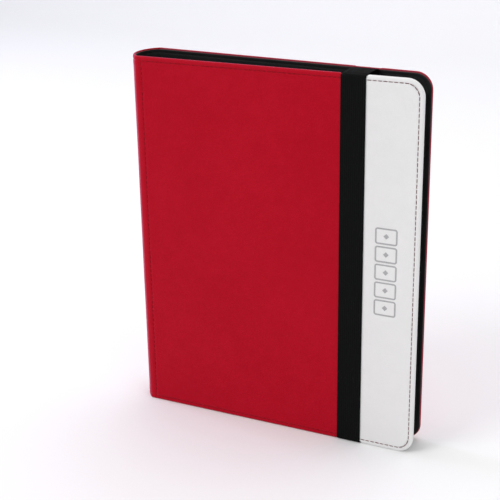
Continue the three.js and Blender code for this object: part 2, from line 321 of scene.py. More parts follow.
def padded_relief(q, z, inset):
    """How far the skin lies below its outer face: dents along both seams of stitches, padding that
    swells on each side of them, a soft groove at the hinge and a slow unevenness all over. Each is a
    depth in millimetres times a bell, or times a product of sines."""
    near_edge = 0.36 * bell(inset, stitch_inset, 0.6 * mm)
    swell = 0.12 * bell(inset, 2.2 * mm, 0.8 * mm) + 0.14 * bell(inset, 6.4 * mm, 1.9 * mm)
    on_cover = smooth(q, 3 * mm, 6 * mm)
    at_spine = 0.34 * bell(q, spine_stitch, 0.8 * mm) + 0.3 * bell(q, 3.2 * mm, 1.2 * mm)
    spine_swell = 0.12 * bell(q, 11.2 * mm, 1.8 * mm) + 0.1 * bell(q, 6 * mm, 1.1 * mm)
    slow = 0.09 * np.sin(q / (19 * mm) + 0.8) * np.sin(z / (31 * mm) + 0.3)
    slow += 0.05 * np.sin(q / (9 * mm) + 2.1) * np.sin(z / (13 * mm) + 1.7)
    return (near_edge - swell + on_cover * (at_spine - spine_swell) + 0.5 * slow) * mm


def strap_squeeze(q, end):
    """How far the strap presses a cover's edge in: a flat-bottomed dip under it, the same at the head,
    where end is 1, as at the tail, where it is -1."""
    half = strap_width / 2 + 0.6 * mm
    wall = 0.5 * mm
    share = np.tanh((q - strap_centre + half) / wall) - np.tanh((q - strap_centre - half) / wall)
    return strap_dip * share / 2


def back_squeeze(q, end):
    """The same dip for the back cover, which is only lightly marked at the head."""
    return strap_squeeze(q, end) * np.where(end > 0, back_head_dip / strap_dip, 1)


skin_plan = girth(spine_radius, spine_angle, 0, 5 * mm, 2.3 * mm, 2.4 * mm)
skin = Sheet(skin_plan, 1, 2.0 * mm, 2.9 * mm, 0.6, (0, 0), padded_relief)
spine_middle = skin.along[0]


class Wire:
    """The output of a shader node. Arithmetic on wires and numbers adds Math nodes."""

    def __init__(self, finish, socket):
        self.finish = finish
        self.socket = socket

    def math(self, operation, a, b=None, c=None):
        return self.finish.node("ShaderNodeMath", {"operation": operation}, {0: a, 1: b, 2: c})

    def __add__(self, other):
        return self.math("ADD", self, other)

    def __mul__(self, other):
        return self.math("MULTIPLY", self, other)

    def __rsub__(self, other):
        return self.math("SUBTRACT", other, self)

    __radd__ = __add__
    __rmul__ = __mul__

    def above(self, low, high):
        """0 below low, 1 above high, smooth between."""
        settings = {"interpolation_type": "SMOOTHSTEP"}
        inputs = {"Value": self, "From Min": low, "From Max": high}
        return self.finish.node("ShaderNodeMapRange", settings, inputs)

    def sine(self):
        return self.math("SINE", self)


class Finish:
    """A procedural material, made node by node."""

    def __init__(self, name, **constants):
        self.material = bpy.data.materials.new(name)
        self.material.use_nodes = True
        self.tree = self.material.node_tree
        self.surface = self.tree.nodes["Principled BSDF"]
        for socket, value in constants.items():
            self.surface.inputs[socket.replace("_", " ")].default_value = value

    def node(self, kind, settings=None, inputs=None, output=0):
        """Adds a node of a type, with its settings first and then the values or wires of its sockets."""
        made = self.tree.nodes.new(kind)
        for setting, value in (settings or {}).items():
            setattr(made, setting, value)
        for key, value in (inputs or {}).items():
            if value is None:
                continue
            named = {s.identifier: s for s in made.inputs}
            socket = made.inputs[key] if isinstance(key, int) or key not in named else named[key]
            self.put(socket, value)
        return Wire(self, made.outputs[output])

    def put(self, socket, value):
        if isinstance(value, Wire):
            self.tree.links.new(value.socket, socket)
        elif isinstance(value, (tuple, list)) and len(value) == 3 and socket.type == "RGBA":
            socket.default_value = (*value, 1)
        else:
            socket.default_value = value

    def set(self, socket, value):
        self.put(self.surface.inputs[socket], value)

    def mix(self, amount, first, second):
        """One colour turning into another as amount goes from 0 to 1."""
        settings = {"data_type": "RGBA", "clamp_factor": True}
        inputs = {"Factor_Float": amount, "A_Color": first, "B_Color": second}
        return self.node("ShaderNodeMix", settings, inputs, output=2)

    def noise(self, where, scale, detail=3.0, roughness=0.55):
        inputs = {"Vector": where, "Scale": scale, "Detail": detail, "Roughness": roughness}
        return self.node("ShaderNodeTexNoise", {}, inputs)

    def cells(self, where, scale, feature="F1", randomness=1.0):
        inputs = {"Vector": where, "Scale": scale, "Randomness": randomness}
        return self.node("ShaderNodeTexVoronoi", {"feature": feature}, inputs)

    def uv(self):
        return self.node("ShaderNodeUVMap", {"uv_map": "UVMap"})

    def place(self):
        return self.node("ShaderNodeTexCoord", output=3)

    def attribute(self, name):
        return self.node("ShaderNodeAttribute", {"attribute_name": name}, output=2)

    def split(self, vector):
        parts = self.node("ShaderNodeSeparateXYZ", {}, {0: vector})
        outputs = parts.socket.node.outputs
        return [Wire(self, output) for output in outputs]

    def bump(self, height, distance, strength=1.0, below=None):
        inputs = {"Height": height, "Distance": distance, "Strength": strength, "Normal": below}
        return self.node("ShaderNodeBump", {}, inputs)

    def coat(self, amount, dark, light, roughness=None, relief=None):
        """Gives the material a colour between two tones, and where given a roughness and a bump."""
        self.set("Base Color", self.mix(amount, dark, light))
        if roughness is not None:
            self.set("Roughness", roughness)
        if relief is not None:
            self.set("Normal", self.bump(*relief))
        return self.material


def leatherette(name, deep, light, edge_wear_and_highlight_colour, specular, edge_wear_and_highlight_from=(0.7, 0.98), **sheen):
    """Embossed leatherette: rounded pebbles with fine creases between them, slightly uneven in colour,
    a little duller in the creases and paler where it is turned over an edge, which is partly wear and
    partly a painted highlight along the turned edge."""
    finish = Finish(name, Specular_IOR_Level=specular, **sheen)
    surface = finish.uv()
    pebbles = finish.cells(surface, 1150, "SMOOTH_F1")
    fine = finish.noise(surface, 2600, 2.0)
    drift = finish.noise(surface, 14, 4.0, 0.6)
    blotch = finish.noise(surface, 90, 3.0, 0.6)
    tone = drift * 0.6 + blotch * 0.4
    colour = finish.mix(tone.above(0.32, 0.68), deep, light)
    # Paler over the turned edges: partly wear, partly a painted highlight where the edge rounds over.
    paler_share = finish.attribute("turned").above(*edge_wear_and_highlight_from) * 0.6
    roughness = 0.42 + 0.12 * tone + 0.1 * pebbles
    grain = finish.bump(1 - pebbles, 0.0002, 0.8)
    return finish.coat(paler_share, colour, edge_wear_and_highlight_colour, roughness, (fine, 0.00004, 0.35, grain))


# The third colour is the tone over the turned edges: partly wear, partly a painted highlight along the
# edge.
red_leatherette = leatherette(
    "red_leatherette", (0.415, 0.0014, 0.0118), (0.448, 0.0028, 0.0148), (0.36, 0.06, 0.09), 0.06,
    Sheen_Weight=0.3, Sheen_Roughness=0.35, Sheen_Tint=(0.7, 0.5, 1.0, 1),
)


def cut_edge(name, dark, light):
    """The cut edge of leatherette: matt, with a fibrous backing whose colour wanders between two tones."""
    finish = Finish(name, Roughness=0.9, Specular_IOR_Level=0.2)
    fibre = finish.noise(finish.place(), 1800, 3.0)
    return finish.coat(fibre, dark, light)


red_cut_edge = cut_edge("skin_cut_edge", (0.3, 0.1, 0.11), (0.52, 0.36, 0.36))

spine_columns = np.linspace(spine_middle, -1 * mm, 16)
hinge_columns = np.arange(-0.5, 14.1, 0.5) * mm
field_columns = np.append(np.arange(18, 184, 8.0), [186, 186.6, 187.2, 187.8, 189, 193]) * mm
field_rows = np.linspace(corner_reach, cover_height - corner_reach, 39)


def seam_roll(q, _):
    """The skins on both sides of the light panel's seam roll under along it."""
    return 0.55 * mm * bell(q, panel_seam, 0.7 * mm)


seam_columns = np.array([196, 197, 197.6, 198, 198.4]) * mm
front_columns = np.concatenate([spine_columns, hinge_columns, field_columns, seam_columns])
front_skin = sheet_piece(
    "front_cover_leatherette", skin, front_columns, field_rows, FRONT, False, 0.8 * mm,
    [red_leatherette, red_cut_edge], seam_roll, strap_squeeze,
)
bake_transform(front_skin)
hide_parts("front_cover_skin", "spine_skin")

back_end = cover_width - back_setback - corner_reach
back_columns = np.concatenate([
    spine_columns, hinge_columns, field_columns,
    np.append([197, 203, 207, 208.2, 208.8, 209.4, 210], np.linspace(214, back_end / mm, 5)) * mm,
])
back_skin = sheet_piece(
    "back_cover_leatherette", skin, back_columns, field_rows, BACK, True, 0.8 * mm,
    [red_leatherette, red_cut_edge], squeeze=back_squeeze,
)
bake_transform(back_skin)
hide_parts("back_cover_skin")


# The light panel.
# A strip of very pale leatherette makes up the front cover's fore-edge, butted to the red one in a seam
# under the strap. A row of plain card outlines is pressed into it and filled with silver foil.

card_width = 17.6 * mm     # across the panel
card_height = 12.6 * mm    # up the panel
card_pitch = 15.4 * mm
card_corner = 1.6 * mm
card_middle = np.array([227.5 * mm, cover_height / 2])
card_levels = card_middle[1] + card_pitch * (np.arange(5) - 2)
diamond_reach = 2.6 * mm
foil_width = 1.3 * mm


def card_distance(q, z):
    """Distance from a point to the nearest foil: a card's outline, which is a rectangle with round
    corners, or the diamond in its middle."""
    nearest = np.full(np.broadcast(q, z).shape, 1.0)
    for level in card_levels:
        to_diamond = (np.abs(q - card_middle[0]) + np.abs(z - level) - diamond_reach) / math.sqrt(2)
        nearest = np.minimum(nearest, np.maximum(to_diamond, 0) + foil_width / 2)
        side_q = np.abs(q - card_middle[0]) - card_width / 2 + card_corner
        side_z = np.abs(z - level) - card_height / 2 + card_corner
        outside = np.hypot(np.maximum(side_q, 0), np.maximum(side_z, 0))
        inside = np.minimum(np.maximum(side_q, side_z), 0)
        nearest = np.minimum(nearest, np.abs(outside + inside - card_corner))
    return nearest


def pressed_panel(q, z):
    """The card outlines are pressed in, and the panel rolls under along its seam."""
    half = foil_width / 2
    groove = 0.26 * mm * (1 - smooth(card_distance(q, z), half - 0.1 * mm, half + 0.5 * mm))
    return groove + seam_roll(q, z)


# The third colour is the tone over the turned edges: partly wear, partly a painted highlight along the
# edge.
pale_leatherette = leatherette(
    "pale_leatherette", (0.80, 0.795, 0.79), (0.825, 0.82, 0.815), (0.84, 0.78, 0.79), 0.3,
)
pale_cut_edge = cut_edge("panel_cut_edge", (0.5, 0.46, 0.46), (0.75, 0.72, 0.72))


def fine_lines(low, high):
    """Grid lines close enough for the grooves, from a little before low to a little past high."""
    return np.arange(low - 1.2 * mm, high + 1.3 * mm, 0.45 * mm)


card_columns = fine_lines(card_middle[0] - card_width / 2, card_middle[0] + card_width / 2)
card_rows = fine_lines(card_levels[0] - card_height / 2, card_levels[-1] + card_height / 2)
panel_columns = np.concatenate([
    np.array([198.6, 199, 199.4, 200, 203, 207, 208.2, 208.8, 209.4, 210, 213]) * mm,
    card_columns,
    [cover_width - corner_reach],
])
panel_rows = np.concatenate([
    np.linspace(corner_reach, card_rows[0] - 4 * mm, 13),
    card_rows,
    np.linspace(card_rows[-1] + 4 * mm, cover_height - corner_reach, 13),
])
edge_panel = sheet_piece(
    "edge_panel_leatherette", skin, panel_columns, panel_rows, FRONT, True, 0.8 * mm,
    [pale_leatherette, pale_cut_edge], pressed_panel, strap_squeeze,
)
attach(edge_panel, "front_cover")
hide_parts("front_edge_panel")


def foil_cards():
    """Each card's outline as a closed band: around a rounded rectangle, and across the band from its
    inner to its outer side, a hair above the bottom of its groove. Each diamond is four-sided rings
    that close in on its middle, with its underside closed by one face."""
    steps = 64
    around = np.linspace(0, 2 * math.pi, steps + 1)[:-1]
    quarter = np.floor(around / (math.pi / 2))
    centre_q = np.where((quarter == 0) | (quarter == 3), 1, -1) * (card_width / 2 - card_corner)
    centre_z = np.where(quarter < 2, 1, -1) * (card_height / 2 - card_corner)
    across = np.array([-0.5, -0.5, 0, 0.5, 0.5])[:, None] * foil_width
    deep = np.array([0.30, 0.17, 0.15, 0.17, 0.30])[:, None] * mm
    points, faces = [], []
    band = len(across) * steps
    for n, level in enumerate(card_levels):
        q = card_middle[0] + centre_q + (card_corner + across) * np.cos(around)
        z = level + centre_z + (card_corner + across) * np.sin(around)
        lie = skin.relief(q, z, far_in)
        points.append(skin.point(q, deep + lie, z, FRONT).reshape(-1, 3))
        loop = np.arange(band).reshape(-1, steps) + n * band
        shift = np.roll(loop, -1, 1)
        after = np.roll(loop, -1, 0)
        after_shift = np.roll(shift, -1, 0)
        faces.append(np.stack([loop, shift, after_shift, after], -1).reshape(-1, 4))
    size = np.array([0.9, 0.9, 0.72, 0.0])[:, None] * diamond_reach
    deep = np.array([0.30, 0.17, 0.15, 0.14])[:, None] * mm
    turn = np.arange(4) * math.pi / 2
    for n, level in enumerate(card_levels):
        q, z = card_middle[0] + size * np.cos(turn), level + size * np.sin(turn)
        points.append(skin.point(q, deep + skin.relief(q, z, far_in), z, FRONT).reshape(-1, 3))
        loop = np.arange(4 * len(size)).reshape(-1, 4) + len(card_levels) * band + n * 4 * len(size)
        shift = np.roll(loop, -1, 1)
        faces.append(np.stack([loop[:-1], shift[:-1], shift[1:], loop[1:]], -1).reshape(-1, 4))
        faces.append(loop[:1])
    return np.vstack(points), faces


foil = Finish("silver_foil", Metallic=0.55)
flake = foil.noise(foil.place(), 900, 3.0)
foil.coat(flake, (0.36, 0.36, 0.365), (0.50, 0.50, 0.505), 0.38 + 0.2 * flake)
foil_mesh = mesh_from("foil_card_outlines", *foil_cards())
tidy(foil_mesh)
foil_piece = show("foil_card_outlines", foil_mesh, foil.material)
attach(foil_piece, "front_cover")


# The stitching.
# A single line of lockstitch holds the turned-in edge down: dark thread on the light panel and red
# thread on the red skin. Each stitch is a short strand that rises out of one needle hole and into the next.

thread_pitch = 4.3 * mm


def fore_edge(side):
    """How far a cover's fore-edge is from the spine edge."""
    return cover_width - back_setback * (side == BACK)


def stitch_run(q, z, side, sheet=skin, gap=0.1 * thread_pitch):
    """Stitches along a line drawn on a cover: the line is divided into even pitches, and each stitch
    gets its two ends, a little below the groove, and the outward direction there."""
    fine = np.hypot(np.diff(q), np.diff(z))
    length = np.concatenate([[0], np.cumsum(fine)])
    count = max(1, round(length[-1] / thread_pitch))
    marks = np.linspace(0, length[-1], count + 1)
    ends = []
    for reach in (marks[:-1] + gap, marks[1:] - gap):
        end_q, end_z = np.interp(reach, length, q), np.interp(reach, length, z)
        to_edge = np.minimum(np.minimum(end_z, cover_height - end_z), fore_edge(side) - end_q)
        ends.append(sheet.point(end_q, sheet.relief(end_q, end_z, to_edge), end_z, side))
    outward = sheet.point(end_q, 0, end_z, side) - sheet.point(end_q, 1.0, end_z, side)
    return ends[0], ends[1], outward


def thread_piece(name, runs, body, finish, radius=0.26 * mm, lift=0.26 * mm):
    """All the stitches of one thread: each is a strand of six-sided rings whose middle stands proud of
    the skin by the lift and whose ends dive into it, by a high power of the place along the stitch."""
    rings, sides = 7, 6
    start, end, outward = (np.concatenate(part)[:, None, None, :] for part in zip(*runs))
    u = np.linspace(-1, 1, rings)[None, :, None, None]
    turn = np.linspace(0, 2 * math.pi, sides + 1)[:-1][None, None, :, None]
    way = end - start
    way = way / np.linalg.norm(way, axis=-1, keepdims=True)
    side = np.cross(way, outward)
    rise = lift * (1 - u**4) - 0.2 * mm * u**8
    thick = radius * np.sqrt(1 - 0.5 * u**6)
    points = (start + end) / 2 + (end - start) / 2 * u + outward * (rise - 0.06 * mm)
    points = points + thick * (np.cos(turn) * outward + np.sin(turn) * side)
    first = np.arange(len(points))[:, None, None] * rings * sides
    corner = np.arange(sides)
    ring = first + np.arange(rings - 1)[:, None] * sides + corner
    following = first + np.arange(rings - 1)[:, None] * sides + (corner + 1) % sides
    around = np.stack([ring, following, following + sides, ring + sides], -1).reshape(-1, 4)
    foot = first[:, :, 0]
    caps = np.vstack([foot + corner, foot + (rings - 1) * sides + corner[::-1]])
    mesh = mesh_from(name, points.reshape(-1, 3), [around, caps])
    tidy(mesh)
    piece = show(name, mesh, finish)
    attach(piece, body)
    return piece


def thread_finish(name, dark, light):
    """Twisted polyester thread: fine diagonal plies, lighter on their crowns."""
    finish = Finish(name, Roughness=0.6, Specular_IOR_Level=0.1)
    x, y, z = finish.split(finish.place())
    plies = ((x + y + z) * (2 * math.pi / (0.5 * mm))).sine() * 0.5 + 0.5
    return finish.coat(plies, dark, light, relief=(plies, 0.00006, 0.5))


def edge_line(q_start, z_low, z_high, side):
    """The line of stitches inside a cover's outline: along the tail, round both fore-edge corners and
    back along the head."""
    r = corner_reach - stitch_inset
    turn = np.linspace(0, math.pi / 2, 16)
    centre = fore_edge(side) - corner_reach
    tail_q = np.array([q_start, centre])
    low_q = centre + r * np.sin(turn)
    low_z = z_low + corner_reach - stitch_inset - r * np.cos(turn)
    q = np.concatenate([tail_q, low_q, low_q[::-1], tail_q[::-1]])
    z = np.concatenate([[z_low] * 2, low_z, cover_height - low_z[::-1], [z_high] * 2])
    return q, z


tail_line, head_line = stitch_inset, cover_height - stitch_inset
dark_thread = thread_finish("dark_thread", (0.045, 0.005, 0.009), (0.17, 0.024, 0.034))
red_thread = thread_finish("red_thread", (0.17, 0.002, 0.007), (0.36, 0.005, 0.013))
panel_line = edge_line(200 * mm, tail_line, head_line, FRONT)
panel_runs = [stitch_run(*panel_line, FRONT, gap=0.05 * thread_pitch)]
panel_thread = thread_piece("edge_panel_thread", panel_runs, "front_cover", dark_thread)


front_runs = [
    stitch_run([spine_stitch, 197 * mm], [tail_line] * 2, FRONT),
    stitch_run([spine_stitch, 197 * mm], [head_line] * 2, FRONT),
    stitch_run([spine_stitch] * 2, [tail_line, head_line], FRONT),
]
front_thread = thread_piece("front_cover_thread", front_runs, "front_cover", red_thread)
back_line = edge_line(spine_stitch, tail_line, head_line, BACK)
back_runs = [
    stitch_run(*back_line, BACK),
    stitch_run([spine_stitch] * 2, [tail_line, head_line], BACK),
]
back_thread = thread_piece("back_cover_thread", back_runs, "back_cover", red_thread)


# The boards, the padding and the linings.
# Grey board gives each cover its stiffness, with a sheet of foam between it and the skin. Dark
# leatherette lines the inside: one sheet for each half, turned over a thin card at its edges.

grey_board = Finish("grey_board", Roughness=0.9, Specular_IOR_Level=0.2)
pulp = grey_board.noise(grey_board.place(), 400, 5.0, 0.7)
grey_board.coat(pulp, (0.20, 0.18, 0.15), (0.34, 0.31, 0.26), relief=(pulp, 0.0001, 0.4))
padding = Finish("padding_foam", Roughness=0.95, Specular_IOR_Level=0.2)
pores = padding.cells(padding.place(), 1500)
padding.coat(pores, (0.42, 0.38, 0.3), (0.72, 0.68, 0.58), relief=(pores, 0.0002, 0.5))
carried_over = {
    "front_cover_board": grey_board, "back_cover_board": grey_board, "spine_board": grey_board,
    "front_cover_foam": padding, "back_cover_foam": padding,
}
for node, finish in carried_over.items():
    frame["nodes"][node].data.materials.clear()
    frame["nodes"][node].data.materials.append(finish.material)


def lining_relief(q, z, inset):
    """The lining lies flat but for the line where the stitches come through and a faint unevenness."""
    seam = 0.2 * bell(inset, stitch_inset, 0.6 * mm)
    slow = 0.05 * np.sin(q / (17 * mm) + 1.1) * np.sin(z / (23 * mm) + 0.4)
    return (seam + 0.06 * smooth(q, 7 * mm, 12 * mm) * (1 + 20 * slow)) * mm


# The third colour and its range give the paler tone over the turned edges: partly wear, partly a painted
# highlight.
dark_leatherette = leatherette(
    "dark_leatherette", (0.007, 0.0075, 0.0078), (0.013, 0.0138, 0.0142), (0.03, 0.032, 0.033), 0.25,
    edge_wear_and_highlight_from=(0.02, 0.3),
)
lining_plan = girth(spine_radius - 2.8 * mm, 0.66, cover_depth, 7 * mm, 1.6 * mm, 2.6 * mm)
lining = Sheet(lining_plan, -1, 0.75 * mm, 1.15 * mm, 0.42, (1.1 * mm, 0.3 * mm), lining_relief)
lining_columns = np.concatenate([
    np.linspace(lining.along[0], -1 * mm, 14), hinge_columns, np.linspace(18 * mm, 230 * mm, 25),
])
black_thread = thread_finish("black_thread", (0.006, 0.006, 0.006), (0.03, 0.03, 0.032))
lined = (
    (FRONT, "front_cover", "front_hinge", ("front_cover_lining", "spine_lining")),
    (BACK, "back_cover", "spine_hinge", ("back_cover_lining",)),
)
inner_stitch = spine_stitch + 2 * mm
for side, cover, hinge, nodes in lined:
    columns = np.append(lining_columns, fore_edge(side) - corner_reach)
    inside = sheet_piece(
        f"{cover}_inner_leatherette", lining, columns, field_rows, side, True, 0.4 * mm,
        [dark_leatherette, dark_leatherette],
    )
    level = hinge_place[hinge][1]
    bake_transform(inside)
    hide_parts(*nodes)
    inner_runs = [
        stitch_run(*edge_line(inner_stitch, tail_line, head_line, side), side, lining),
        stitch_run([inner_stitch] * 2, [tail_line, head_line], side, lining),
    ]
    inner_thread = thread_piece(
        f"{cover}_inner_thread", inner_runs, cover, black_thread, radius=0.2 * mm, lift=0.12 * mm,
    )


# The leaves.
# Each leaf is a black embossed sheet with clear film over both faces. Lines of grey stitching divide
# the film into nine pockets a side, which open towards the spine. Its inner margin is bare sheet.

leaf_width = 236 * mm
leaf_height = 298 * mm
leaf_foot = (cover_height - leaf_height) / 2
leaf_margin = 10 * mm
leaf_border = 4 * mm
leaf_half = 0.3 * mm           # half the thickness where the film is stitched down
margin_half = 0.22 * mm        # and of the bare margin
leaf_corner = 4 * mm
pocket_bulge = 0.075 * mm
pocket_columns = np.linspace(leaf_margin + 1 * mm, leaf_width - leaf_border, 4)
pocket_rows = np.linspace(leaf_border, leaf_height - leaf_border, 4)


def pocket_swell(x, z):
    """Film over the sheet: within each pocket it stands off evenly and dips to the seams around it."""
    to_column = np.min(np.abs(x[..., None] - pocket_columns), -1)
    to_row = np.min(np.abs(z[..., None] - pocket_rows), -1)
    inside_x = (x > pocket_columns[0]) & (x < pocket_columns[-1])
    inside_z = (z > pocket_rows[0]) & (z < pocket_rows[-1])
    share = smooth(np.minimum(to_column, to_row), 0, 5 * mm)
    return (inside_x & inside_z) * share * pocket_bulge


def spread(edges, inner, between):
    """Grid lines: close on each side of the seams and even between them."""
    lines = [edges[0]]
    for low, high in zip(edges[:-1], edges[1:]):
        lines += [low + inner, *np.linspace(low + 5 * mm, high - 5 * mm, between), high - inner, high]
    return np.array(lines)


def leaf_solid():
    """One closed leaf, lying along +X from its hinge: two grids with the same outline, bowed out by the
    pockets, whose outer corners are drawn in to a round and whose borders share their points."""
    x = np.concatenate([[0.2 * mm, 5 * mm], spread(pocket_columns, 2 * mm, 4), [leaf_width]])
    z = np.concatenate([[0], spread(pocket_rows, 2 * mm, 5), [leaf_height]])
    x, z = np.meshgrid(x, z)
    cut = leaf_corner * (1 - math.sqrt(0.5))
    far = x > leaf_width - 1e-6
    low, high = z < 1e-6, z > leaf_height - 1e-6
    swell = pocket_swell(x, z)
    half = np.where(x < leaf_margin, margin_half, leaf_half) + swell
    x = np.where(far & (low | high), x - cut, x)
    z = np.where(far & low, z + cut, np.where(far & high, z - cut, z))
    rows, columns = x.shape
    points = np.concatenate([np.stack([x, y, z], -1).reshape(-1, 3) for y in (half, -half)])
    top = quads(rows, columns, 0)
    n = np.arange(rows * columns).reshape(rows, columns)
    rim = np.concatenate([n[0], n[1:, -1], n[-1, -2::-1], n[-2:0:-1, 0]])
    after = np.roll(rim, -1)
    wall = np.stack([rim, after, after + rows * columns, rim + rows * columns], -1)
    return points, [top, top[:, ::-1] + rows * columns, wall]


def pocket_faces(mesh):
    """Which of a leaf's faces are film: those whose middle lies inside the stitched area."""
    middle = np.empty(len(mesh.polygons) * 3)
    mesh.polygons.foreach_get("center", middle)
    middle = middle.reshape(-1, 3)
    normal = np.empty(len(mesh.polygons) * 3)
    mesh.polygons.foreach_get("normal", normal)
    in_x = (middle[:, 0] > pocket_columns[0]) & (middle[:, 0] < pocket_columns[-1])
    in_z = (middle[:, 2] > pocket_rows[0]) & (middle[:, 2] < pocket_rows[-1])
    return (in_x & in_z & (np.abs(normal.reshape(-1, 3)[:, 1]) > 0.5)).astype(np.int32)


def leaf_stitches():
    """The grey stitches of a leaf: small bars that go right through it, spaced along every seam."""
    pitch, length, width = 4 * mm, 2.8 * mm, 0.75 * mm
    across = np.arange(pocket_columns[0] + 2 * mm, pocket_columns[-1], pitch)
    upward = np.arange(pocket_rows[0] + 2 * mm, pocket_rows[-1], pitch)
    lying = [(x, z, length, width) for z in pocket_rows for x in across]
    standing = [(x, z, width, length) for x in pocket_columns[1:] for z in upward]
    bars = np.array(lying + standing)
    around = [(-1, -1), (1, -1), (1, 1), (-1, 1)]
    corner = np.array([(x, y, z) for y in (-1, 1) for x, z in around])
    size = np.stack([bars[:, 2] / 2, np.full(len(bars), leaf_half + 0.06 * mm), bars[:, 3] / 2], -1)
    middle = np.stack([bars[:, 0], 0 * bars[:, 0], bars[:, 1]], -1)
    points = middle[:, None] + size[:, None] * corner
    box = np.array([[0, 1, 2, 3], [5, 4, 7, 6], [4, 5, 1, 0], [3, 2, 6, 7], [1, 5, 6, 2], [4, 0, 3, 7]])
    faces = (np.arange(len(bars))[:, None, None] * 8 + box).reshape(-1, 4)
    return points.reshape(-1, 3), [faces]


leaf_sheet = Finish("leaf_sheet", Specular_IOR_Level=0.4)
sheet_place = leaf_sheet.place()
sheet_grain = leaf_sheet.cells(sheet_place, 1500, "SMOOTH_F1")
sheet_tone = leaf_sheet.noise(sheet_place, 50, 3.0)
leaf_sheet.coat(
    sheet_tone, (0.011, 0.012, 0.0125), (0.022, 0.023, 0.024), 0.5 + 0.15 * sheet_grain,
    (1 - sheet_grain, 0.00008, 0.4),
)
pocket_film = Finish("pocket_film", Specular_IOR_Level=0.5, Coat_Weight=1.0, Coat_Roughness=0.07)
film_place = pocket_film.place()
ripples = pocket_film.noise(film_place, 16, 2.0, 0.4)
creases = pocket_film.noise(film_place, 55, 2.0, 0.5)
pocket_film.coat(
    creases, (0.010, 0.011, 0.012), (0.020, 0.021, 0.023), 0.35 + 0.15 * creases,
    (ripples + 0.12 * creases, 0.0012, 0.35),
)
leaf_thread = thread_finish("leaf_thread", (0.24, 0.24, 0.25), (0.46, 0.46, 0.47))

leaf_points, leaf_faces = leaf_solid()
bar_points, bar_faces = leaf_stitches()
full_half = leaf_half + pocket_bulge
leaf_names = sorted(node for node in frame["nodes"] if node.startswith("leaf_"))
for name in leaf_names:
    root = hinge_place[f"{name}_hinge"]
    low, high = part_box(name)
    tip = high[1] - full_half if root[1] < 0 else low[1] + full_half
    turn = math.asin((tip - root[1]) / leaf_width)
    spin = np.array([[math.cos(turn), math.sin(turn), 0], [-math.sin(turn), math.cos(turn), 0], [0, 0, 1]])
    foot = np.array([root[0], root[1], leaf_foot])
    solid = mesh_from(f"{name}_pockets", leaf_points, leaf_faces)
    film = pocket_faces(solid)
    solid.vertices.foreach_set("co", (leaf_points @ spin + foot).astype(np.float32).ravel())
    solid.polygons.foreach_set("material_index", film)
    leaf = show(f"{name}_pockets", solid, leaf_sheet.material, pocket_film.material)
    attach(leaf, name)
    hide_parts(name)
    bar_mesh = mesh_from(f"{name}_stitches", bar_points @ spin + foot, bar_faces)
    bars = show(f"{name}_stitches", bar_mesh, leaf_thread)
    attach(bars, name)


# The page binding.
# The leaves' margins are stacked with spacer strips and sewn through into one rounded bar, so its face
# is ridged: a ridge for each spacer and a valley where each leaf comes out.

bar_half = 17 * mm
bar_round = 6 * mm
bar_front = 12 * mm
bar_angle = 2 * math.atan(bar_round / bar_half)
bar_radius = bar_half / math.sin(bar_angle)
bar_centre = bar_front - bar_radius
leaf_count = len(leaf_names)


def binding_bar():
    """Plan: a convex arc whose radius ripples once between every two leaves, and a concave arc against
    the spine's lining. The plan is carried straight up, with both ends closed."""
    samples = 191
    turn = np.linspace(-bar_angle, bar_angle, samples)
    share = turn / (bar_angle * 0.96) * (leaf_count - 1) / 2 + (leaf_count - 1) / 2
    radius = bar_radius - 0.2 * mm + 0.32 * mm * np.sin(math.pi * share) ** 2
    front = np.stack([bar_centre + radius * np.cos(turn), radius * np.sin(turn)], 1)
    back_turn = np.linspace(0.6, -0.6, samples)
    back_radius = spine_radius - 3.1 * mm
    back_x = spine_radius - spine_bulge - back_radius * np.cos(back_turn)
    back = np.stack([back_x, back_radius * np.sin(back_turn)], 1)
    levels = leaf_foot + np.array([0, 0.15, *np.linspace(1, 297, 9), 297.85, 298]) * mm
    loop = np.vstack([front, back])
    pinch = np.ones(len(levels))
    pinch[[0, -1]] = 0.985
    middle = loop.mean(0)
    plan = middle + (loop - middle) * pinch[:, None, None]
    x = spine_edge + plan[..., 0]
    points = np.stack([x, plan[..., 1], levels[:, None] + 0 * x], -1)
    return points.reshape(-1, 3), tube(len(levels), len(loop))


margin_stack = Finish("margin_stack", Specular_IOR_Level=0.35)
_, stack_y, _ = margin_stack.split(margin_stack.place())
layers = (stack_y * (2 * math.pi / (0.9 * mm))).sine() * 0.5 + 0.5
stack_grain = margin_stack.noise(margin_stack.place(), 900, 3.0)
margin_stack.coat(
    layers * stack_grain, (0.010, 0.010, 0.011), (0.035, 0.036, 0.038), 0.55 + 0.2 * stack_grain,
    (layers + 0.3 * stack_grain, 0.0001, 0.4),
)
bar_mesh = mesh_from("sewn_margin_bar", *binding_bar())
tidy(bar_mesh)
bar = show("sewn_margin_bar", bar_mesh, margin_stack.material, sharp=35)
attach(bar, "spine")
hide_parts("page_binding")


# The strap.
# A flat band of black woven elastic, ribbed along its length. It crosses the front, bends over the head
# and tail edges and runs inside the back cover, where its two ends are turned and sewn to the lining.
# At the head it bows a little over the leaves, and its last stretch dips to where it is sewn.

strap_half_thickness = 0.38 * mm
strap_ribs = 12
strap_bend = 1.9 * mm
strap_face = 0.62 * mm         # from the front cover's face out to the strap's middle
strap_top = cover_height - 0.5 * mm
strap_rise = 0.62 * mm         # how much higher it stands over the leaves' heads than over the dented edge
strap_tuck = 0.15 * mm         # how much lower than at that edge it lies where it is sewn down
end_reach = 1.75 * mm          # from the back cover's lining to where the strap's sewn ends are divided off
sewn_stand = 0.55 * mm         # from the lining to the middle of a sewn end
sewn_length = 8.6 * mm
sewn_bend = 0.9 * mm
stowed_gap = 0.4 * mm          # how much deeper the stowed strap is than the cover that it goes round


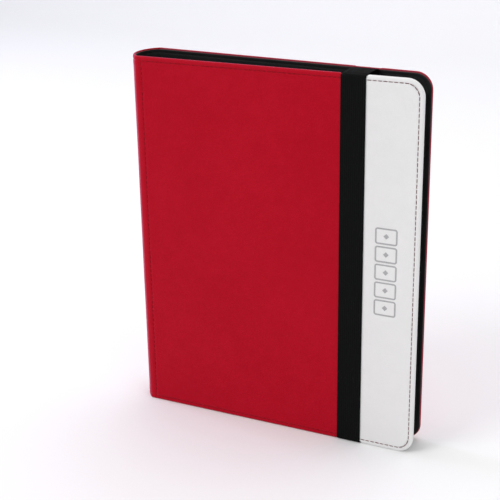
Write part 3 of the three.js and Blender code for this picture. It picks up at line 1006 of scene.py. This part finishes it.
def strap_path(turns, bend, samples=9):
    """A smooth centreline in a plane of depth and height: straight runs between the corner points
    given, each square corner rounded by an arc of the bend radius."""
    points = [turns[0]]
    for before, corner, after in zip(turns[:-2], turns[1:-1], turns[2:]):
        into = (corner - before) / np.linalg.norm(corner - before)
        onward = (after - corner) / np.linalg.norm(after - corner)
        centre = corner - into * bend + onward * bend
        t = np.linspace(0, math.pi / 2, samples)[:, None]
        points.append(centre - onward * bend * np.cos(t) + into * bend * np.sin(t))
    points.append(turns[-1])
    return np.vstack(points)


def divide(path, step):
    """The same path with points no further apart than a step, and the running length at each point."""
    length = np.concatenate([[0], np.cumsum(np.linalg.norm(np.diff(path, axis=0), axis=1))])
    pieces = []
    for low, high in zip(length[:-1], length[1:]):
        count = max(1, math.ceil((high - low) / step))
        pieces.append(np.linspace(low, high, count + 1)[:-1])
    marks = np.append(np.concatenate(pieces), length[-1])
    return np.stack([np.interp(marks, length, path[:, 0]), np.interp(marks, length, path[:, 1])], 1), marks


def ribbon(name, path, side, finish):
    """An elastic band: its section, a flat loop with ribs on both faces and thinner selvedges, is
    carried along a path of depth and height across the strap's place on a cover."""
    line, marks = divide(path, 6 * mm)
    way = np.gradient(line, marks, axis=0)
    way /= np.linalg.norm(way, axis=1, keepdims=True)
    normal = np.stack([way[:, 1], -way[:, 0]], 1)
    u = np.linspace(-1, 1, strap_ribs * 6 + 1)
    body = strap_half_thickness * (1 - smooth(np.abs(u), 0.93, 1.0) * 0.75)
    rib = 0.1 * mm * np.cos(u * strap_ribs * math.pi) * (1 - smooth(np.abs(u), 0.9, 0.97))
    half = body + rib - 0.08 * mm
    across = np.concatenate([u, u[::-1]]) * strap_width / 2
    lift = np.concatenate([half, -half[::-1]])
    depth = line[:, :1] + normal[:, :1] * lift
    z = line[:, 1:] + normal[:, 1:] * lift
    q = strap_centre + across + 0 * depth
    points = skin.point(q, depth, z, side)
    uv = np.stack([across + 0 * depth, marks[:, None] + 0 * depth], -1).reshape(-1, 2)
    mesh = mesh_from(name, points.reshape(-1, 3), tube(*depth.shape), uv)
    tidy(mesh)
    return show(name, mesh, finish, sharp=60)


elastic = Finish("black_elastic", Specular_IOR_Level=0.06)
across_band, along_band, _ = elastic.split(elastic.uv())
warp = (across_band * (2 * math.pi / (0.7 * mm))).sine()
weft = (along_band * (2 * math.pi / (0.55 * mm))).sine()
weave = warp * weft * 0.5 + 0.5
crown = (across_band * (2 * math.pi * strap_ribs / strap_width) + math.pi / 2).sine() * 0.5 + 0.5
fuzz = elastic.noise(elastic.uv(), 1400, 3.0)
# How far each point goes to the lighter tone: lighter along each rib's crown, with the weave and the fuzz.
paler_share = crown * 0.45 + weave * 0.3 + fuzz * 0.35
elastic.coat(
    paler_share, (0.002, 0.0021, 0.0021), (0.0074, 0.0078, 0.0078), 0.75 + 0.2 * fuzz,
    (weave + 0.4 * fuzz, 0.00012, 0.6),
)

lining_face = 2 * (half_at_spine - strap_centre * math.tan(taper)) - cover_depth
strap_end = lining_face - end_reach
strap_turns = np.array([
    [strap_end, strap_top],
    [-strap_face, strap_top],
    [-strap_face, cover_height - strap_top],
    [strap_end, cover_height - strap_top],
])
strap_line = strap_path(strap_turns, strap_bend)
head_run = np.linspace(strap_turns[0], strap_line[1], 28)[:-1]     # close enough for its bow
strap_line = np.vstack([head_run, strap_line[1:]])
at_head = strap_line[:, 1] > cover_height / 2
depth = strap_line[:, 0]
strap_line[:, 1] += at_head * strap_rise * smooth(depth, 1.2 * mm, 6.6 * mm)
strap_line[:, 1] -= at_head * (strap_rise + strap_tuck) * smooth(depth, strap_end - 5.8 * mm, strap_end)
strap = ribbon("closing_strap", strap_line, FRONT, elastic.material)
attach(strap, "strap")
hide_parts("strap")
strap_keep = (cover_depth + stowed_gap) / (strap_end + strap_face)
front_face = skin.point(strap_centre, -strap_face, cover_height / 2, FRONT)
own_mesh(strap)

for name, up in (("head", 1), ("tail", -1)):
    level = strap_top - strap_tuck if up > 0 else cover_height - strap_top
    inner = cover_depth + sewn_stand
    end_turns = np.array([[inner + end_reach, level], [inner, level], [inner, level - up * sewn_length]])
    sewn_end = ribbon(f"strap_end_{name}", strap_path(end_turns, sewn_bend), BACK, elastic.material)
    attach(sewn_end, "back_cover")
    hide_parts(f"strap_anchor_{name}")


# The table and the light.
# A plain pale surface that curves up behind, and broad soft lights, with a long lens that looks a little
# down on the front cover from the fore-edge's side, as for a catalogue picture.

floor_span = 6.0


def backdrop():
    """A sweep: flat floor, then a quarter circle, then an upright wall, all of one width."""
    bend = 0.8
    t = np.linspace(0, math.pi / 2, 24)
    run = np.concatenate([[-floor_span], 1.6 + bend * np.sin(t), [1.6 + bend]])
    rise = np.concatenate([[0], bend * (1 - np.cos(t)), [4.0]])
    x = np.array([-floor_span, floor_span])
    grid_x, grid_y = np.meshgrid(x, run)
    grid_z = np.meshgrid(x, rise)[1]
    return np.stack([grid_x, grid_y, grid_z], -1).reshape(-1, 3), [quads(len(run), 2, 0)]


paper = Finish("backdrop_paper", Roughness=0.9, Specular_IOR_Level=0.1)
tooth = paper.noise(paper.place(), 300, 3.0)
paper.coat(tooth, (0.92, 0.92, 0.92), (0.94, 0.94, 0.94))
floor = show("backdrop", mesh_from("backdrop", *backdrop()), paper.material)


def aimed(item, place, target, roll=0.0):
    """Stands an item at a place, looking at a target, turned about its line of sight."""
    way = (np.array(target) - np.array(place)).tolist()
    look = Vector(way).to_track_quat("-Z", "Y")
    item.rotation_euler = (look.to_matrix() @ Matrix.Rotation(roll, 3, "Z")).to_euler()
    item.location = place


def soft_light(name, place, size, power, tint=(1, 1, 1)):
    lamp = bpy.data.lights.new(name, "AREA")
    lamp.shape = "RECTANGLE"
    lamp.size, lamp.size_y = size
    lamp.energy = power
    lamp.color = tint
    item = bpy.data.objects.new(name, lamp)
    bpy.context.scene.collection.objects.link(item)
    aimed(item, place, (0, 0, 0.16))


soft_light("key_light", (-1.5, -2.2, 2.2), (1.6, 1.6), 36)
soft_light("fill_light", (2.4, -1.4, 1.2), (1.4, 1.8), 12)
soft_light("spine_light", (-2.4, 0.1, 0.9), (0.8, 1.6), 26, (0.7, 0.7, 1.0))
soft_light("top_light", (0.2, 0.5, 2.6), (2.4, 2.4), 30)

world = bpy.data.worlds.new("studio")
bpy.context.scene.world = world
world.use_nodes = True
world.node_tree.nodes["Background"].inputs["Color"].default_value = (1.0, 1.0, 1.0, 1)
world.node_tree.nodes["Background"].inputs["Strength"].default_value = 0.42

view_turn = math.radians(27.83)       # to the right of straight on
view_rise = math.radians(20.33)
view_roll = math.radians(0.98)
view_distance = 1.0129
view_target = np.array([-0.02065, -0.01114, 0.15787])
away = np.array([
    math.sin(view_turn) * math.cos(view_rise),
    -math.cos(view_turn) * math.cos(view_rise),
    math.sin(view_rise),
])
lens = bpy.data.cameras.new("camera")
lens.sensor_width = 36
lens.lens = 85.8
camera = bpy.data.objects.new("camera", lens)
bpy.context.scene.collection.objects.link(camera)
aimed(camera, (view_target + view_distance * away).tolist(), view_target.tolist(), -view_roll)
bpy.context.scene.camera = camera
bpy.context.scene.view_settings.view_transform = "Standard"
